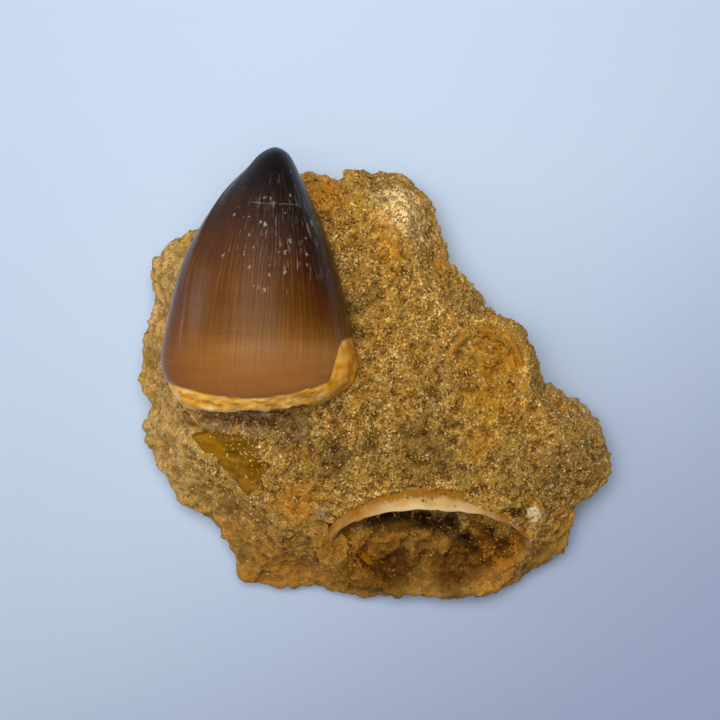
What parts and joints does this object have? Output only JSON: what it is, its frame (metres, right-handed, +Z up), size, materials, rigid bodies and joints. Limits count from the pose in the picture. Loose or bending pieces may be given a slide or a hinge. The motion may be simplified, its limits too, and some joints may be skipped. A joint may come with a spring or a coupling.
{
  "type": "fossil mosasaur tooth in matrix",
  "caption": "Stout conical marine-reptile tooth lying on a rough block of sandy phosphate rock that also holds a dished fish vertebra and smaller bones.",
  "frame": {"origin": "centre of the whole specimen's footprint, on the surface it rests on", "axes": "+Z up from the block's flat underside, +Y the way the tooth's tip points, +X to the right of the tooth seen from above"},
  "size_m": [0.0724, 0.0682, 0.0335],
  "materials": {
    "phosphate_sand": "rough sandy rock, ochre to grey-brown",
    "enamel": "glossy fossil enamel, black at the tip to warm brown at the base",
    "cream_bone": "matt cream bone with orange stains",
    "ochre_bone": "matt ochre bone",
    "amber_bone": "satin amber bone",
    "pale_bone": "matt pale bone"
  },
  "bodies": {
    "root": {"matrix": "phosphate_sand", "mosasaur_tooth": "enamel", "fish_vertebra": "cream_bone", "small_vertebra": "ochre_bone", "bone_fragment": "amber_bone", "bone_chip": "pale_bone"}
  },
  "joints": []
}
